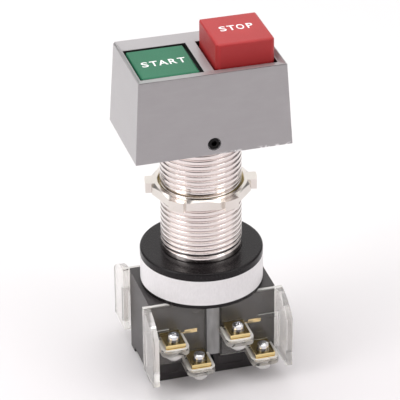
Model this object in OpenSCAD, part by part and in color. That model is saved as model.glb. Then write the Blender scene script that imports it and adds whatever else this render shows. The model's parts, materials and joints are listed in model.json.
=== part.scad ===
// Double push button, START and STOP, on a threaded sleeve over two contact blocks.
// Millimetres. Z is up, X runs from START to STOP, and the front faces -Y.
// The origin lies on the sleeve's axis, in the plane of the blocks' feet.

/* [Contact blocks] */
// Width of one block, along X
block_w = 24.0; // [22:0.2:27]
// Gap between the two blocks
block_gap = 0.8; // [0.4:0.1:1.6]
// Depth of a block, along Y
block_d = 28.0; // [27.4:0.2:30]
// Height of a block from its feet to its top
block_h = 34.0; // [33:0.5:38]
// Height of the lower casing, up to the split line
split_h = 8.6; // [8:0.2:9.2]
// Radius of the casing's upright corners
case_r = 0.6; // [0.3:0.1:1]
// Thickness of the casing's side walls
side_wall = 2.2; // [1.6:0.1:2.4]
// Thickness of the casing's end walls, which hold the strips and screws
end_wall = 4.8; // [4.4:0.1:5]
// Thickness of the upper casing's roof
roof_t = 3.0; // [2:0.2:4]
// Thickness of the lower casing's floor, feet included
floor_t = 4.4; // [4:0.2:5]
// Height of the two feet
foot_h = 2.0; // [1:0.2:2.4]
// Depth of each foot, along Y
foot_d = 5.5; // [5.2:0.1:7]
// Thickness of the strip that joins the two blocks
link_t = 0.8; // [0.5:0.1:1.4]
// Depth of the tongue that goes in between the blocks
link_tongue_d = 4.0; // [2:0.5:8]
// Width of the strip that joins the two blocks
link_w = 5.2; // [4:0.2:5.4]

/* [Block screws] */
// Depth of the marks and frame in the casing's faces
mark_depth = 0.15; // [0.1:0.05:0.3]
// Diameter of the two round mould marks
mark_d = 3.0; // [2:0.2:4]
// Distance of the round marks from the block's middle, along X
mark_x = 6.0; // [4:0.2:8]
// Distance of the upper mark below the block's top
mark_drop = 4.7; // [3:0.1:6]
// Distance of the lower mark above the split line
mark_rise = 7.6; // [6.5:0.1:9]
// Width of the empty frame on the lower casing
frame_w = 10.5; // [8:0.5:11]
// Height of the empty frame
frame_h = 4.6; // [3.6:0.1:5]
// Width of the frame's line
frame_line = 0.35; // [0.2:0.05:0.6]
// Distance of the frame's middle from the block's middle, along X
frame_x = 5.6; // [5.2:0.1:6]
// Diameter of a block screw
block_screw_d = 2.5; // [2:0.1:2.6]
// Diameter of its head
block_screw_head_d = 4.2; // [3.6:0.1:4.4]
// Height of its head
block_screw_head_h = 2.0; // [1.4:0.1:2.4]
// Depth of the head below the foot's underside
block_screw_sink = 0.7; // [0.4:0.1:1]
// Width of the slot in the head
block_screw_slot_w = 0.7; // [0.5:0.1:0.9]
// Depth of the slot in the head
block_screw_slot_h = 0.9; // [0.6:0.1:1.2]
// Distance of its centre from the block's end face
block_screw_inset = 2.8; // [2.6:0.1:2.9]
// Length that goes into the base disc
block_screw_grip = 6.5; // [5:0.5:7]
// Room left at the end of its hole
block_screw_end_gap = 0.4; // [0.2:0.1:0.6]

/* [Plungers and contacts] */
// Diameter of a plunger's stem
plunger_d = 7.6; // [6:0.2:9]
// Room that is left over the stem's top at full travel
plunger_spare = 0.6; // [0.4:0.1:1]
// Diameter of the shoulder that stops it under the roof
plunger_shoulder_d = 11.0; // [10:0.5:13]
// Depth of the contact carrier, along Y
carrier_d = 6.8; // [5.6:0.2:7.6]
// Thickness of the carrier under its upper window
carrier_base_t = 2.6; // [2:0.2:3]
// Height of a window in the carrier, which holds a bridge and its spring
contact_room = 4.6; // [4.2:0.1:4.8]
// Free room over the closed bridge in its window
window_spare = 0.2; // [0.1:0.1:0.6]
// Width of a bridging contact
bridge_w = 5.0; // [4:0.2:5.4]
// Length of a bridging contact, along Y
bridge_len = 15.2; // [14.4:0.2:16.4]
// Thickness of a bridging contact
bridge_t = 0.8; // [0.6:0.1:1]
// Diameter of the silver contact tips
tip_d = 3.0; // [2.4:0.2:3.4]
// Height of the silver contact tips
tip_h = 0.5; // [0.3:0.1:0.6]
// Distance of the tips from the middle plane
tip_y = 6.2; // [5.8:0.1:6.4]
// Gap between the closed tips, which keeps them from overlapping
tip_gap = 0.1; // [0.05:0.05:0.3]

/* [Terminals] */
// Distance of each terminal from its block's middle, along X
term_x = 4.9; // [4.7:0.1:5.1]
// Distance from a block's top down to the upper terminals' top face
term_drop = 11.7; // [11.2:0.1:12.4]
// Height of the lower terminals' top face above the split line
term_rise = 3.5; // [3.1:0.1:3.8]
// Width of a terminal plate outside the block
strip_w = 7.5; // [7:0.1:8]
// Width of the strip inside the block
strip_inner_w = 6.0; // [5:0.2:6.4]
// Thickness of the strips
strip_t = 1.0; // [0.8:0.1:1.2]
// How far a terminal stands out of the block
strip_reach = 11.2; // [10.4:0.2:12]
// Distance of the strip's inner end from the middle plane
strip_inner_y = 4.6; // [4.4:0.1:4.8]
// Height of the turned-down lip
lip_h = 2.4; // [2:0.1:2.6]
// Thickness of the lip
lip_t = 1.2; // [1:0.1:1.6]
// Distance from the terminal's top face down to the groove in the lip
lip_groove_drop = 1.3; // [1:0.1:1.6]
// Height of the groove
lip_groove_h = 0.35; // [0.2:0.05:0.5]
// Depth of the groove
lip_groove_t = 0.3; // [0.1:0.05:0.5]
// Length of the side arm that shows above each lower terminal
arm_len = 7.4; // [6:0.2:8]
// Height of the side arm
arm_h = 1.6; // [1.2:0.1:2]
// Distance of the arm's notch from the terminal plate
arm_notch_x = 1.0; // [0.4:0.1:2]
// Width of the notch
arm_notch_w = 1.5; // [0.8:0.1:2.4]
// Depth of the notch
arm_notch_h = 0.9; // [0.4:0.1:1.1]
// Thickness of the side arm
arm_t = 0.5; // [0.3:0.1:0.6]
// Distance of the terminal screws from the block's face
term_screw_y = 8.0; // [7.4:0.1:8.4]
// Diameter of a terminal screw's shank
term_screw_d = 2.9; // [2.5:0.1:3]
// Diameter of a terminal screw's head
term_head_d = 4.2; // [3.8:0.1:4.8]
// Height of a terminal screw's head
term_head_h = 2.0; // [1.6:0.1:2.4]
// Height of the dome on the head
term_dome_h = 0.7; // [0.4:0.1:1]
// Width of the cross slots in a terminal screw's head
term_slot_w = 0.6; // [0.5:0.1:0.8]
// Depth of these slots
term_slot_h = 0.7; // [0.5:0.1:1]
// Length of these slots
term_slot_len = 2.6; // [2.2:0.1:3.2]
// Width of the split in the lock washer
washer_split = 0.5; // [0.3:0.1:0.8]
// Diameter of the washer under the head
washer_d = 4.6; // [4.2:0.1:5.4]
// Thickness of the washer
washer_t = 0.6; // [0.4:0.1:0.8]
// Thickness of the split lock washer on top of it
lock_washer_t = 0.6; // [0.4:0.1:0.8]

/* [Clear covers] */
// Space between a block's face and its cover plate
cover_gap = 0.7; // [0.6:0.1:1.4]
// Thickness of the cover plate
cover_t = 0.8; // [0.6:0.1:1.4]
// Distance of the cover's top edge below the block's top
cover_drop = 0.2; // [0:0.1:1]
// Thickness of the rims that reach back to the block
cover_rim_t = 0.8; // [0.6:0.1:1.2]
// Thickness of the wing at the outer side
wing_t = 2.5; // [2:0.1:3]
// How far a wing stands out of the block's face
wing_reach = 14.0; // [13.6:0.2:16]
// Height of the wing's lower edge
wing_z = 7.0; // [5:0.2:7.6]
// Radius of the wing's curved shoulder
wing_r = 19.0; // [17:0.5:24]
// Width of the slot in a wing
wing_slot_w = 0.9; // [0.6:0.1:1.4]
// Height of the slot in a wing
wing_slot_h = 15.0; // [10:0.5:17]
// Distance of the slot from the cover plate
wing_slot_inset = 1.6; // [1.2:0.1:3]
// Height of the slot's lower end above the wing's lower edge
wing_slot_rise = 2.5; // [1.5:0.1:4]
// Outer width of a terminal tray
tray_w = 10.6; // [10.4:0.1:11]
// Thickness of a tray's wall
tray_wall = 1.1; // [0.8:0.1:1.2]
// Height of a tray
tray_h = 2.6; // [2.2:0.1:2.8]
// Distance from a terminal's top face down to the tray's rim
tray_drop = 1.6; // [1.3:0.1:2]
// Gap between the lip and the tray's front wall
tray_gap = 0.5; // [0.5:0.1:0.8]
// Outer radius of a tray's front corners
tray_r = 2.6; // [1.6:0.2:2.6]
// Diameter of the screw boss under a tray
boss_d = 6.2; // [5.4:0.2:6.6]
// Distance from a terminal's top face to the boss's end
boss_drop = 7.8; // [7:0.2:8.2]
// Taper at the boss's closed end
boss_taper = 1.1; // [0.6:0.1:1.2]
// Thickness of the boss's wall that joins the tray
boss_wall = 0.5; // [0.3:0.1:1]
// Thickness of the boss's closed end
boss_floor_t = 1.2; // [0.8:0.1:1.6]
// Height of the rib across the plate's outer part
rib_h = 1.8; // [1.2:0.1:2.2]
// Distance from the upper terminals' top face down to that rib
rib_drop = 0.8; // [0:0.1:1.2]
// How far that rib stands out
rib_t = 0.5; // [0.3:0.1:0.8]

/* [Base disc] */
// Diameter of the base disc
disc_d = 46.0; // [45.6:0.2:50]
// Height of the free room over the push rods' feet
disc_room = 0.5; // [0.3:0.1:2]
// Thickness of the disc's side wall
disc_wall = 3.4; // [3:0.1:3.8]
// Thickness of the disc's top
disc_top_t = 3.2; // [2.8:0.1:3.4]
// Rounding of the disc's top edge
disc_edge_r = 0.8; // [0.4:0.1:1.2]
// Diameter of the bosses for the block screws
disc_boss_d = 6.0; // [5:0.2:6.4]
// Distance of the label band below the disc's top
label_drop = 3.0; // [2.6:0.1:3.6]
// Distance of the label band above the disc's lower edge
label_foot = 1.4; // [1:0.1:2]
// Thickness of the label band
label_t = 0.15; // [0.1:0.05:0.3]

/* [Threaded sleeve] */
// Outer diameter of the thread
sleeve_d = 30.16; // [29.6:0.02:30.6]
// Thickness of the sleeve's wall
sleeve_wall = 3.08; // [2.6:0.02:3.2]
// Length between the base disc and the head
sleeve_free_len = 47.0; // [42:1:70]
// Distance from one crest of the thread to the next, 12 to the inch
thread_pitch = 2.117; // [1.5:0.001:3.2]
// Depth of the thread
thread_depth = 0.8; // [0.4:0.05:1]
// Width of the thread's crests
thread_crest = 0.7; // [0.3:0.05:0.9]
// Width of the thread's roots
thread_root = 0.25; // [0.1:0.05:0.4]
// Depth of the plain neck above the disc, below the thread's crests
neck_cut = 0.48; // [0.3:0.02:1]
// Height of the plain neck
neck_h = 1.8; // [1:0.2:3]
// How far the flange inside the disc stands out of the sleeve
flange_reach = 2.12; // [1.6:0.02:2.3]
// Thickness of the flange
flange_t = 2.0; // [1.4:0.1:2.2]
// Thickness of the retaining ring under the flange
ring_t = 1.0; // [0.8:0.1:1.1]
// Depth of the ring's groove in the disc
ring_grip = 0.9; // [0.6:0.1:1]
// Height of the disc's shoulder under the ring
ring_seat_t = 0.8; // [0.6:0.1:1]
// How far the ring reaches under the rod guide
ring_overlap = 0.8; // [0.6:0.1:1]
// Width of the gap in the ring
ring_split = 5.0; // [3:0.5:8]
// Chamfer at the sleeve's upper end
sleeve_chamfer = 1.0; // [0.5:0.1:1.5]
// Width of the short lip that holds the rod guide down
guide_lip = 1.0; // [0.8:0.1:1.5]
// Height of the lower rod guide
guide_disc_h = 5.0; // [4:0.5:8]

/* [Lock nut] */
// Width of the nut's ring round the sleeve
nut_ring_w = 3.52; // [3:0.02:4.4]
// Width that is left of it at the flats between the lugs
nut_flat_w = 2.72; // [2.2:0.02:3]
// Height of the nut
nut_h = 3.9; // [3:0.1:6]
// Distance from the base disc to the nut
nut_gap = 24.0; // [6:1:36]
// Number of lugs
lug_count = 6; // [4:1:8]
// Width of a lug
lug_w = 6.0; // [4:0.5:7]
// How far the lugs stand out from the sleeve
lug_reach = 5.62; // [5:0.02:6.4]
// Direction of the first lug, in degrees from +X
lug_turn = -12.3; // [-30:0.1:30]
// Chamfer at the nut's bore and rim
nut_chamfer = 1.0; // [0.4:0.1:1.2]

/* [Head] */
// Width of the head at its lower edge
head_bottom_w = 58.5; // [57.5:0.5:62]
// Depth of the head at its lower edge
head_bottom_d = 37.4; // [37:0.2:40]
// Width of the head at its rim
head_top_w = 54.8; // [54.4:0.2:57]
// Depth of the head at its rim
head_top_d = 34.9; // [34.5:0.2:36.8]
// Height of the head
head_h = 31.6; // [31:0.2:36]
// Thickness of the head's walls
head_wall = 1.8; // [1.5:0.1:2]
// Depth of the dished top below the rim
recess_depth = 1.2; // [0.8:0.1:2]
// Width of the rim at the ends
rim_x = 0.6; // [0.4:0.1:1.2]
// Width of the rim at the front and back
rim_y = 0.6; // [0.4:0.1:1.2]
// Width of the slope down from the rim at the ends
slope_x = 1.2; // [0.6:0.1:1.6]
// Width of the slope down from the rim at the front and back
slope_y = 4.0; // [2:0.1:4.6]
// Thickness of the recess's floor
recess_floor_t = 2.0; // [1.4:0.1:2.4]
// Width of the bar between the two buttons
divider_w = 3.8; // [3.4:0.1:4.2]
// Width of the ledge at the front and back of the windows
ledge_y = 0.5; // [0.3:0.1:1.4]
// Width of the ledge at the outer ends of the windows
ledge_x = 0.25; // [0.05:0.05:0.6]
// Distance of the base plate above the head's lower edge
plate_inset = 0.8; // [0.4:0.1:1.2]
// Height of the base plate
plate_h = 8.0; // [7.6:0.1:9]
// Thickness of the web over the sleeve's end
plate_web = 3.4; // [3:0.1:3.8]
// Height of the set screw above the head's lower edge
set_screw_z = 4.1; // [3.6:0.1:4.4]
// Diameter of the set screw
set_screw_d = 4.0; // [3:0.1:4.4]
// Depth of the set screw's end below the head's face
set_screw_sink = 0.7; // [0.4:0.1:1.4]
// Size of its socket across the corners
set_socket_d = 2.2; // [1.8:0.1:2.6]
// Depth of its socket
set_socket_h = 1.6; // [1:0.1:2]
// Diameter of the hole over the set screw
set_hole_d = 4.9; // [4.6:0.1:5.4]

/* [Buttons] */
// Gap between a button and the divider bar
button_gap = 0.95; // [0.7:0.05:1.1]
// Gap between a button and the window's outer end
button_end_gap = 0.6; // [0.35:0.05:0.8]
// Gap between a button and the window's front and back
button_side_gap = 0.6; // [0.4:0.05:1]
// Distance of START's top below the rim
start_drop = 1.3; // [0.6:0.1:2]
// Height of STOP's top above the rim
stop_rise = 8.0; // [5:0.1:10]
// Travel of both buttons
travel = 5.0; // [3.6:0.1:5.1]
// Wall of a button
button_wall = 1.5; // [1.2:0.1:1.6]
// Top of a button
button_top_t = 2.2; // [1.6:0.1:2.6]
// Rounding of a button's top edges
button_edge_r = 1.3; // [0.6:0.1:1.4]
// Rounding of a button's upright edges
button_corner_r = 2.0; // [0.5:0.1:2.4]
// Distance of the push rods' axes from the sleeve's inner wall
rod_inset = 3.5; // [3.4:0.1:3.8]
// Diameter of a push rod
rod_d = 4.0; // [3.4:0.1:4.2]
// Length of the rod inside its button
rod_grip = 6.0; // [4:0.5:7]
// Thickness of the foot at the rod's lower end
foot_plate_t = 2.2; // [1.6:0.1:2.4]
// Depth of that foot, along Y
foot_plate_d = 8.0; // [6:0.5:10]
// How far the foot reaches past the rod on its inner side
foot_margin = 1.0; // [0.5:0.1:1.5]
// Rounding of the foot's corners
foot_corner_r = 1.5; // [0.8:0.1:2.4]
// Diameter of the clip that stops the rod
clip_d = 6.4; // [5.6:0.1:6.6]
// Thickness of the clip
clip_t = 0.8; // [0.6:0.1:1]
// Thickness of the rod seals
seal_t = 1.6; // [1:0.1:2]
// Diameter of the rod seals
seal_d = 7.2; // [6.4:0.1:7.4]
// Thickness of the washers under the return springs
spring_washer_t = 0.5; // [0.3:0.1:0.8]

/* [Springs] */
// Outer diameter of a button's return spring
return_spring_d = 7.0; // [6.4:0.1:7.2]
// Wire of a return spring
return_wire = 0.7; // [0.5:0.1:0.8]
// Turns of a return spring
return_turns = 4; // [3:0.5:4.5]
// Length of a return spring at rest
return_len = 8.6; // [8.4:0.1:9.4]
// Outer diameter of a plunger's spring
plunger_spring_d = 6.0; // [5:0.1:8]
// Wire of a plunger's spring
plunger_wire = 0.6; // [0.4:0.1:0.7]
// Turns of a plunger's spring
plunger_turns = 4.5; // [3:0.5:5]
// Outer diameter of a contact spring
contact_spring_d = 3.6; // [3:0.1:4]
// Wire of a contact spring
contact_wire = 0.4; // [0.3:0.05:0.5]
// Turns of a contact spring
contact_turns = 3.5; // [3:0.5:5]

/* [Fits] */
// Gap around fixed pieces that slip into each other
slip_fit = 0.05; // [0.02:0.01:0.1]
// Radial gap of the rods in their guides and of the nut on the sleeve
run_fit = 0.07; // [0.04:0.01:0.09]
// Gap around moving pieces that aren't guided there
move_gap = 0.3; // [0.25:0.05:0.4]

/* [Hidden] */
$fn = 64;
eps = 0.01;
LEFT = -1;
RIGHT = 1;

// The plunger's top stands clear of the roof by more than the travel
plunger_top_z = block_h + travel + plunger_spare;
foot_plate_z = plunger_top_z + tip_gap;

// Heights of the main planes
disc_z = block_h;
disc_top_z = foot_plate_z + foot_plate_t + disc_room + ring_t + flange_t + disc_top_t;
disc_h = disc_top_z - disc_z;
label_h = disc_h - label_drop - label_foot;
head_z = disc_top_z + sleeve_free_len;
rim_z = head_z + head_h;
recess_z = rim_z - recess_depth;
roof_under_z = recess_z - recess_floor_t;
plate_z = head_z + plate_inset;
plate_top_z = plate_z + plate_h;
sleeve_end_z = plate_top_z - plate_web;
term_upper_z = block_h - term_drop;
term_lower_z = split_h + term_rise;
flange_z = disc_top_z - disc_top_t - flange_t;
ring_z = flange_z - ring_t;
nut_z = disc_top_z + nut_gap;
cover_top_z = block_h - cover_drop;

// Sleeve and nut
sleeve_bore_d = sleeve_d - 2 * sleeve_wall;
neck_d = sleeve_d - 2 * neck_cut;
flange_d = sleeve_d + 2 * flange_reach;
nut_d = sleeve_d + 2 * nut_ring_w;
nut_flats = sleeve_d + 2 * nut_flat_w;
lug_d = sleeve_d + 2 * lug_reach;
rod_x = sleeve_bore_d / 2 - rod_inset;

// Block sizes that follow
block_pitch = block_w + block_gap;
face_y = block_d / 2;
cavity_w = block_w - 2 * side_wall;
cavity_d = block_d - 2 * end_wall;
block_screw_y = face_y - block_screw_inset;
carrier_w = cavity_w - 2 * move_gap;

// The carrier's top stops short of the upper strips' level at full travel
carrier_top_z = term_upper_z + travel + move_gap;
closed_bridge_z = term_upper_z - strip_t - 2 * tip_h - tip_gap - bridge_t;
carrier_z = closed_bridge_z + bridge_t - contact_room - carrier_base_t;
carrier_h = carrier_top_z - carrier_z;

// The lower bridge meets the lower strips only at full travel
open_bridge_z = term_lower_z + 2 * tip_h + travel + tip_gap;
cover_y = face_y + cover_gap + cover_t;
outer_u = block_w / 2 + wing_t;
inner_u = block_pitch / 2 - link_w / 2 - slip_fit;

// Recess, windows and buttons
recess_w = head_top_w - 2 * rim_x;
recess_d = head_top_d - 2 * rim_y;
window_w = recess_w / 2 - slope_x - ledge_x - divider_w / 2;
window_d = recess_d - 2 * (slope_y + ledge_y);
button_w = window_w - button_gap - button_end_gap;
button_d = window_d - 2 * button_side_gap;
button_x = divider_w / 2 + button_gap + button_w / 2;
start_top_z = rim_z - start_drop;
stop_top_z = rim_z + stop_rise;
skirt_z = plate_top_z + travel + move_gap;
spring_foot_z = plate_top_z + spring_washer_t;
spring_seat_z = spring_foot_z + return_len;

// A rectangle with four round corners
module round_rect(w, d, r) {
    square([w - 2 * r, d], center = true);
    square([w, d - 2 * r], center = true);
    for (sx = [-1, 1], sy = [-1, 1]) {
        translate([sx * (w / 2 - r), sy * (d / 2 - r)]) circle(r);
    }
}

// A trapezium that stands on the X axis of its plane
module trapezium(bottom_w, top_w, h) {
    polygon([[-bottom_w / 2, 0], [bottom_w / 2, 0], [top_w / 2, h], [-top_w / 2, h]]);
}

// A four-sided tapering block, seen as a trapezium from the front and from the side
module taper_block(bottom_w, top_w, bottom_d, top_d, h) {
    intersection() {
        rotate([90, 0, 0]) linear_extrude(bottom_d + top_d, center = true) trapezium(bottom_w, top_w, h);
        rotate([90, 0, 90]) linear_extrude(bottom_w + top_w, center = true) trapezium(bottom_d, top_d, h);
    }
}

// Share of the head's taper that is gone at a height above its lower edge
function head_w(z) = head_bottom_w + (head_top_w - head_bottom_w) * (z - head_z) / head_h;
function head_d(z) = head_bottom_d + (head_top_d - head_bottom_d) * (z - head_z) / head_h;

// A slice of the head's outer form, made smaller all round by an inset
module head_form(z0, z1, inset) {
    translate([0, 0, z0]) taper_block(
        head_w(z0) - 2 * inset, head_w(z1) - 2 * inset,
        head_d(z0) - 2 * inset, head_d(z1) - 2 * inset, z1 - z0);
}

module ring(outer_d, inner_d, h) {
    difference() {
        cylinder(d = outer_d, h = h);
        translate([0, 0, -eps]) cylinder(d = inner_d, h = h + 2 * eps);
    }
}

// A helical wire spring that stands on z = 0
module coil(outer_d, wire, len, turns, sides = 6, steps = 14) {
    n = ceil(turns * steps);
    mid_r = (outer_d - wire) / 2;
    rise = len - wire;
    points = [
        for (i = [0 : n], k = [0 : sides - 1])
            let (a = 360 * turns * i / n, t = 360 * k / sides, r = mid_r + wire / 2 * cos(t))
            [r * cos(a), r * sin(a), wire / 2 + rise * i / n + wire / 2 * sin(t)]
    ];
    walls = [
        for (i = [0 : n - 1], k = [0 : sides - 1])
            let (a = i * sides + k, b = i * sides + (k + 1) % sides)
            each [[a, b, b + sides], [a, b + sides, a + sides]]
    ];
    start = [for (k = [sides - 1 : -1 : 0]) k];
    end = [for (k = [0 : sides - 1]) n * sides + k];
    polyhedron(points = points, faces = concat(walls, [start, end]), convexity = 4);
}

module at_block(side) {
    translate([side * block_pitch / 2, 0, 0]) children();
}

// The front one as drawn, and its mirror image at the back
module front_and_back() {
    children();
    mirror([0, 1, 0]) children();
}

// Head

module recess_and_windows() {
    translate([0, 0, recess_z])
        taper_block(recess_w - 2 * slope_x, recess_w, recess_d - 2 * slope_y, recess_d, recess_depth + eps);
    for (side = [LEFT, RIGHT]) {
        translate([side * (divider_w + window_w) / 2, 0, roof_under_z - 1])
            linear_extrude(recess_floor_t + 2) square([window_w, window_d], center = true);
    }
}

module head_housing() {
    color([0.62, 0.61, 0.61]) difference() {
        head_form(head_z, rim_z, 0);
        head_form(head_z - 1, roof_under_z, head_wall);
        recess_and_windows();
        translate([0, -head_bottom_d / 4, head_z + set_screw_z])
            rotate([90, 0, 0]) cylinder(d = set_hole_d, h = head_bottom_d / 2);
    }
}

// The plate that the head sits on, screwed on the sleeve's end
module head_base() {
    color([0.3, 0.3, 0.31]) difference() {
        head_form(plate_z, plate_top_z, head_wall + slip_fit);
        translate([0, 0, plate_z - 1])
            cylinder(d = sleeve_d + 2 * slip_fit, h = sleeve_end_z - plate_z + 1 + slip_fit);
        for (side = [LEFT, RIGHT]) translate([side * rod_x, 0, 0]) {
            translate([0, 0, sleeve_end_z - 1]) cylinder(d = rod_d + 2 * run_fit, h = plate_web + 2);
            translate([0, 0, plate_top_z - seal_t]) cylinder(d = seal_d + 2 * slip_fit, h = seal_t + 1);
        }
        translate([0, -sleeve_d / 4, head_z + set_screw_z])
            rotate([90, 0, 0]) cylinder(d = set_screw_d + 2 * slip_fit, h = head_bottom_d / 2);
    }
}

// The black frame under the recess, whose two wells guide the buttons
module button_guide() {
    top_z = roof_under_z - slip_fit;
    color([0.1, 0.1, 0.1]) difference() {
        head_form(plate_top_z, top_z, head_wall + slip_fit);
        for (side = [LEFT, RIGHT]) {
            translate([side * button_x, 0, plate_top_z - 1]) linear_extrude(top_z - plate_top_z + 2)
                round_rect(button_w + 2 * move_gap, button_d + 2 * move_gap, button_corner_r);
        }
    }
}

module set_screw() {
    tip_y = sleeve_d / 2 + slip_fit;
    end_y = head_d(head_z + set_screw_z) / 2 - set_screw_sink;
    color([0.08, 0.08, 0.08]) translate([0, 0, head_z + set_screw_z]) rotate([90, 0, 0]) difference() {
        translate([0, 0, tip_y]) cylinder(d = set_screw_d, h = end_y - tip_y);
        translate([0, 0, end_y - set_socket_h]) cylinder(d = set_socket_d, h = 2 * set_socket_h, $fn = 6);
    }
}

// Sleeve, base disc and nut

// One side of a row of thread grooves, from the lowest up, as points of radius and height
function thread_grooves(from_z, to_z) = [
    for (i = [0 : floor((to_z - from_z) / thread_pitch) - 1])
        let (z = from_z + i * thread_pitch, w = thread_pitch - thread_crest, r = sleeve_d / 2)
        each [[r, z], [r - thread_depth, z + (w - thread_root) / 2],
            [r - thread_depth, z + (w + thread_root) / 2], [r, z + w]]
];

module threaded_sleeve() {
    top_z = sleeve_end_z;
    thread_z = disc_top_z + neck_h + (sleeve_d - neck_d) / 2;
    lip_z = flange_z + guide_disc_h;
    bore_r = sleeve_bore_d / 2;
    foot = [
        [bore_r, flange_z],
        [flange_d / 2, flange_z],
        [flange_d / 2, flange_z + flange_t],
        [neck_d / 2, flange_z + flange_t],
        [neck_d / 2, disc_top_z + neck_h],
        [sleeve_d / 2, thread_z]
    ];
    end = [
        [sleeve_d / 2, top_z - sleeve_chamfer],
        [sleeve_d / 2 - sleeve_chamfer, top_z],
        [bore_r, top_z],
        [bore_r, lip_z + 2 * guide_lip],
        [bore_r - guide_lip, lip_z + guide_lip],
        [bore_r - guide_lip, lip_z],
        [bore_r, lip_z]
    ];
    color([0.85, 0.82, 0.79]) rotate_extrude()
        polygon(concat(foot, thread_grooves(thread_z + thread_crest, top_z - sleeve_chamfer), end));
}

// The snap ring that holds the sleeve's flange and the rod guide up
module retaining_ring() {
    outer_d = flange_d + 2 * ring_grip;
    color([0.55, 0.55, 0.57]) translate([0, 0, ring_z]) difference() {
        ring(outer_d - 2 * slip_fit, sleeve_bore_d - 2 * ring_overlap, ring_t - slip_fit);
        translate([0, outer_d / 2, 0]) cube([ring_split, outer_d, 4 * ring_t], center = true);
    }
}

module rod_guide() {
    color([0.2, 0.2, 0.2]) translate([0, 0, flange_z]) difference() {
        cylinder(d = sleeve_bore_d - 2 * slip_fit, h = guide_disc_h - slip_fit);
        for (side = [LEFT, RIGHT]) {
            translate([side * rod_x, 0, -1]) cylinder(d = rod_d + 2 * run_fit, h = guide_disc_h + 2);
        }
    }
}

module base_disc() {
    r = disc_d / 2;
    hole_r = neck_d / 2 + slip_fit;
    seat_r = flange_d / 2 + slip_fit;
    seat_z = ring_z - ring_seat_t;
    under_z = disc_top_z - disc_top_t;
    label_z = disc_top_z - label_drop;
    mouth_r = sleeve_d / 2 + 2 * slip_fit;
    color([0.09, 0.09, 0.09]) difference() {
        union() {
            rotate_extrude() difference() {
                union() {
                    translate([0, disc_z]) square([r, disc_h - disc_edge_r]);
                    translate([0, disc_z]) square([r - disc_edge_r, disc_h]);
                    translate([r - disc_edge_r, disc_top_z - disc_edge_r]) circle(disc_edge_r);
                }
                translate([-1, disc_z - 1]) square([r - disc_wall + 1, seat_z - disc_z + 1]);
                translate([-1, disc_z]) square([seat_r + 1, under_z - disc_z]);
                translate([-1, ring_z]) square([seat_r + ring_grip + 1, ring_t]);
                translate([-1, disc_z]) square([hole_r + 1, disc_h + 1]);
                polygon([[0, disc_top_z + 1], [mouth_r + 1, disc_top_z + 1], [mouth_r, disc_top_z],
                    [hole_r, disc_top_z - mouth_r + hole_r], [0, disc_top_z - mouth_r + hole_r]]);
                translate([r - label_t, label_z - label_h]) square([1, label_h]);
            }
            for (sx = [-1, 1], sy = [-1, 1]) {
                translate([sx * block_pitch / 2, sy * block_screw_y, disc_z])
                    cylinder(d = disc_boss_d, h = seat_z - disc_z + eps);
            }
        }
        for (sx = [-1, 1], sy = [-1, 1]) {
            translate([sx * block_pitch / 2, sy * block_screw_y, disc_z - 1])
                cylinder(d = block_screw_d + 2 * slip_fit, h = block_screw_grip + 1 + block_screw_end_gap);
        }
    }
}

module label_band() {
    color([0.95, 0.94, 0.94]) translate([0, 0, disc_top_z - label_drop - label_h])
        ring(disc_d, disc_d - 2 * label_t, label_h);
}

// The ring nut, with flats between its lugs
module lock_nut() {
    color([0.86, 0.83, 0.77]) translate([0, 0, nut_z]) rotate([0, 0, lug_turn]) difference() {
        union() {
            intersection() {
                cylinder(d = nut_d, h = nut_h);
                cylinder(d = nut_flats / cos(180 / lug_count), h = nut_h, $fn = lug_count);
                cylinder(d1 = nut_d + 2 * nut_h, d2 = nut_flats - nut_chamfer, h = nut_h);
            }
            intersection() {
                cylinder(d = lug_d, h = nut_h);
                for (i = [0 : lug_count - 1]) {
                    rotate([0, 0, 360 / lug_count * i]) translate([sleeve_d / 2 + 1, -lug_w / 2, 0])
                        cube([lug_d / 2, lug_w, nut_h]);
                }
            }
        }
        translate([0, 0, -1]) cylinder(d = sleeve_d + 2 * run_fit, h = nut_h + 2);
        translate([0, 0, nut_h - nut_chamfer])
            cylinder(d1 = sleeve_d, d2 = sleeve_d + 2 * nut_chamfer + 2 * eps, h = nut_chamfer + eps);
    }
}

// Buttons and push rods

// A hollow button with rounded top edges, from its skirt up to its top
module button_cap(side, top_z) {
    h = top_z - skirt_z;
    translate([side * button_x, 0, skirt_z]) difference() {
        union() {
            difference() {
                button_form(button_w, button_d, h, button_edge_r, button_corner_r);
                translate([0, 0, -1]) linear_extrude(h - button_top_t + 1)
                    square([button_w - 2 * button_wall, button_d - 2 * button_wall], center = true);
            }
            translate([side * (rod_x - button_x), 0, spring_seat_z - skirt_z])
                cylinder(d = return_spring_d, h = top_z - spring_seat_z - button_top_t + eps);
        }
        translate([side * (rod_x - button_x), 0, spring_seat_z - skirt_z - 1])
            cylinder(d = rod_d + 2 * slip_fit, h = rod_grip + 1 + slip_fit);
        translate([side * (rod_x - button_x), 0, -1])
            cylinder(d = return_spring_d + 2 * move_gap, h = spring_seat_z - skirt_z + 1);
    }
}

// A block whose four top edges and four upright edges are round
module button_form(w, d, h, edge_r, corner_r) {
    intersection() {
        linear_extrude(h) round_rect(w, d, corner_r);
        rotate([90, 0, 0]) linear_extrude(d + 2, center = true) translate([0, h / 2 - edge_r])
            round_rect(w, h + 2 * edge_r, edge_r);
        rotate([90, 0, 90]) linear_extrude(w + 2, center = true) translate([0, h / 2 - edge_r])
            round_rect(d, h + 2 * edge_r, edge_r);
    }
}

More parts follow.
